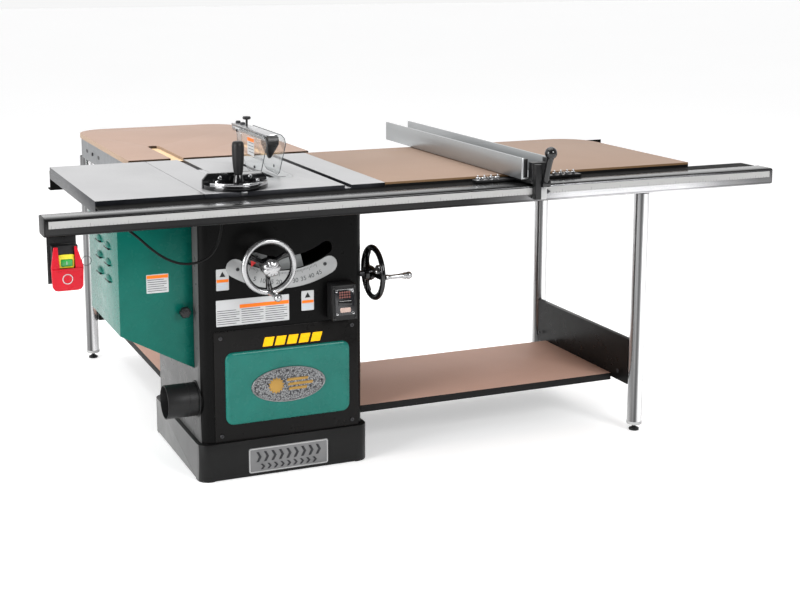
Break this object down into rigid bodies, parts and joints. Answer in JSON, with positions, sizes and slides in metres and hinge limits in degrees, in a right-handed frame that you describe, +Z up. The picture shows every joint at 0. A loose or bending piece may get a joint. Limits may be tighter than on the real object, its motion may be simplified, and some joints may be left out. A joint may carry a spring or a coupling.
{
  "type": "table saw",
  "caption": "Cabinet table saw with a long extension table, an outfeed table, a rip fence on a tube rail, a miter gauge, a blade guard and two handwheels.",
  "frame": {"origin": "centre of the base plinth's underside, on the floor", "axes": "+X to the operator's right along the fence rail, +Y from the operator towards the outfeed table, +Z up"},
  "size_m": [2.278, 1.8331, 1.0333],
  "materials": {
    "cast_iron": "ground top, satin",
    "black_paint": "black textured powder coat",
    "green_paint": "green semi-gloss powder coat",
    "grey_paint": "grey paint",
    "laminate": "tan laminate on fibreboard, matt",
    "brown_laminate": "brown laminate on fibreboard",
    "chrome": "polished",
    "aluminium": "brushed, anodised",
    "steel": "brushed",
    "black_plastic": "moulded, satin",
    "clear_plastic": "clear polycarbonate",
    "red_plastic": "moulded, gloss",
    "green_plastic": "moulded, gloss",
    "rubber": "black"
  },
  "bodies": {
    "stand": {"base_plinth": "black_paint", "cabinet": "black_paint", "lower_front_panel": "black_paint", "dust_port": "black_plastic", "control_box": "black_plastic", "main_table": "cast_iron", "left_wing": "cast_iron", "table_insert": "aluminium", "trunnion_frame": "grey_paint", "front_rail": "chrome", "front_rail_angle": "black_paint", "rear_rail_angle": "black_paint", "extension_table": "laminate", "outfeed_table": "laminate", "outfeed_apron": "grey_paint", "extension_leg_front": "chrome", "extension_leg_rear": "chrome", "outfeed_leg_left": "chrome", "outfeed_leg_right": "chrome", "extension_foot_front": "black_plastic", "extension_foot_rear": "black_plastic", "outfeed_foot_left": "black_plastic", "outfeed_foot_right": "black_plastic", "extension_end_panel": "black_paint", "outfeed_end_panel": "black_paint", "extension_shelf": "brown_laminate", "outfeed_shelf": "brown_laminate", "switch_box": "black_plastic", "switch_cord": "rubber"},
    "motor_door": {"motor_cover": "green_paint"},
    "door_latch": {"cover_knob": "black_plastic"},
    "cradle": {"trunnion_cradle": "grey_paint", "splitter": "steel", "guard_arm": "steel"},
    "shield_carrier": {"shield_link": "steel"},
    "left_shield": {"shield_left": "clear_plastic"},
    "right_shield": {"shield_right": "clear_plastic"},
    "pawls": {"kickback_pawls": "steel"},
    "guard_clamp": {"guard_knob": "black_plastic"},
    "arm": {"arbor_arm": "grey_paint", "motor": "black_paint", "drive_belt": "rubber"},
    "spindle": {"arbor": "steel", "saw_blade": "steel"},
    "motor_rotor": {"motor_pulley": "steel"},
    "raise_drive": {"raise_wheel": "chrome", "raise_shaft": "steel"},
    "raise_grip": {"raise_handle": "chrome"},
    "raise_lock": {"raise_lock_knob": "chrome"},
    "tilt_drive": {"tilt_wheel": "black_plastic"},
    "tilt_grip": {"tilt_handle": "chrome"},
    "tilt_lock": {"tilt_lock_knob": "chrome"},
    "fence": {"fence_channel": "aluminium", "fence_head": "black_paint"},
    "fence_clamp": {"fence_lever": "black_plastic"},
    "miter_slide": {"miter_bar": "steel"},
    "miter_gauge": {"miter_head": "black_paint"},
    "miter_lock": {"miter_handle": "black_plastic"},
    "stop_switch": {"stop_paddle": "red_plastic"},
    "start_switch": {"start_button": "green_plastic"}
  },
  "joints": [
    {"name": "door_swing", "type": "hinge", "parent": "stand", "child": "motor_door", "pos_m": [-0.2605, 0.213, 0.55], "axis": [0, 0, -1], "range_deg": [0, 110]},
    {"name": "door_latch_turn", "type": "hinge", "parent": "motor_door", "child": "door_latch", "pos_m": [-0.284, -0.2, 0.506], "axis": [0, -1, 0], "range_deg": [0, 720]},
    {"name": "blade_tilt", "type": "hinge", "parent": "stand", "child": "cradle", "pos_m": [0.009, 0, 0.874], "axis": [0, -1, 0], "range_deg": [0, 45]},
    {"name": "blade_raise", "type": "hinge", "parent": "cradle", "child": "arm", "pos_m": [0, -0.1343, 0.784], "axis": [1, 0, 0], "range_deg": [0, 31.7]},
    {"name": "arbor_spin", "type": "hinge", "parent": "arm", "child": "spindle", "pos_m": [0, 0.01, 0.743], "axis": [1, 0, 0], "continuous": true},
    {"name": "motor_spin", "type": "hinge", "parent": "arm", "child": "motor_rotor", "pos_m": [0, -0.075, 0.56], "axis": [1, 0, 0], "continuous": true},
    {"name": "raise_wheel_turn", "type": "hinge", "parent": "cradle", "child": "raise_drive", "pos_m": [-0.073, -0.352, 0.6525], "axis": [0, 1, 0], "range_deg": [0, 2980]},
    {"name": "raise_handle_spin", "type": "hinge", "parent": "raise_drive", "child": "raise_grip", "pos_m": [-0.073, -0.36, 0.578], "axis": [0, 1, 0], "continuous": true},
    {"name": "raise_lock_turn", "type": "hinge", "parent": "raise_drive", "child": "raise_lock", "pos_m": [-0.073, -0.36, 0.6525], "axis": [0, 1, 0], "range_deg": [0, 360]},
    {"name": "tilt_wheel_turn", "type": "hinge", "parent": "stand", "child": "tilt_drive", "pos_m": [0.31, -0.204, 0.572], "axis": [-1, 0, 0], "range_deg": [0, 8640]},
    {"name": "tilt_handle_spin", "type": "hinge", "parent": "tilt_drive", "child": "tilt_grip", "pos_m": [0.32, -0.282, 0.572], "axis": [1, 0, 0], "continuous": true},
    {"name": "tilt_lock_turn", "type": "hinge", "parent": "tilt_drive", "child": "tilt_lock", "pos_m": [0.32, -0.204, 0.572], "axis": [-1, 0, 0], "range_deg": [0, 360]},
    {"name": "shield_link_lift", "type": "hinge", "parent": "cradle", "child": "shield_carrier", "pos_m": [-0.014, 0.165, 0.99], "axis": [-1, 0, 0], "range_deg": [0, 12]},
    {"name": "left_shield_lift", "type": "hinge", "parent": "shield_carrier", "child": "left_shield", "pos_m": [-0.02, 0.1, 0.99], "axis": [-1, 0, 0], "range_deg": [0, 40]},
    {"name": "right_shield_lift", "type": "hinge", "parent": "cradle", "child": "right_shield", "pos_m": [0.038, 0.1, 0.99], "axis": [-1, 0, 0], "range_deg": [0, 40]},
    {"name": "pawl_swing", "type": "hinge", "parent": "cradle", "child": "pawls", "pos_m": [0.009, 0.168, 0.918], "axis": [1, 0, 0], "range_deg": [0, 60], "stiffness_Nm_per_rad": 0.02, "springref_deg": -28.65},
    {"name": "guard_knob_turn", "type": "hinge", "parent": "cradle", "child": "guard_clamp", "pos_m": [0.009, 0.096, 1.01], "axis": [0, 0, 1], "range_deg": [0, 720]},
    {"name": "fence_slide", "type": "slide", "parent": "stand", "child": "fence", "axis": [1, 0, 0], "range_m": [-0.59, 0.5]},
    {"name": "fence_lever_clamp", "type": "hinge", "parent": "fence", "child": "fence_clamp", "pos_m": [0.724, -0.52, 0.868], "axis": [1, 0, 0], "range_deg": [0, 72]},
    {"name": "miter_slide", "type": "slide", "parent": "stand", "child": "miter_slide", "axis": [0, 1, 0], "range_m": [-0.1, 0.59]},
    {"name": "miter_angle", "type": "hinge", "parent": "miter_slide", "child": "miter_gauge", "pos_m": [-0.143, -0.268, 0.88], "axis": [0, 0, 1], "range_deg": [-60, 60]},
    {"name": "miter_handle_turn", "type": "hinge", "parent": "miter_gauge", "child": "miter_lock", "pos_m": [-0.143, -0.298, 0.95], "axis": [0, 0, 1], "range_deg": [0, 360]},
    {"name": "stop_paddle_press", "type": "hinge", "parent": "stand", "child": "stop_switch", "pos_m": [-0.67, -0.5, 0.783], "axis": [1, 0, 0], "range_deg": [0, 4], "stiffness_Nm_per_rad": 1.5, "springref_deg": -6.88},
    {"name": "start_button_press", "type": "slide", "parent": "stand", "child": "start_switch", "axis": [0, 1, 0], "range_m": [0, 0.003], "stiffness_N_per_m": 400, "springref_m": -0.003}
  ],
  "couplings": [
    {"joint": "tilt_wheel_turn", "follows": "blade_tilt", "ratio": 192},
    {"joint": "shield_link_lift", "follows": "blade_tilt", "ratio": 0.26666},
    {"joint": "raise_wheel_turn", "follows": "blade_raise", "ratio": 94},
    {"joint": "motor_spin", "follows": "arbor_spin", "ratio": 0.86176}
  ]
}
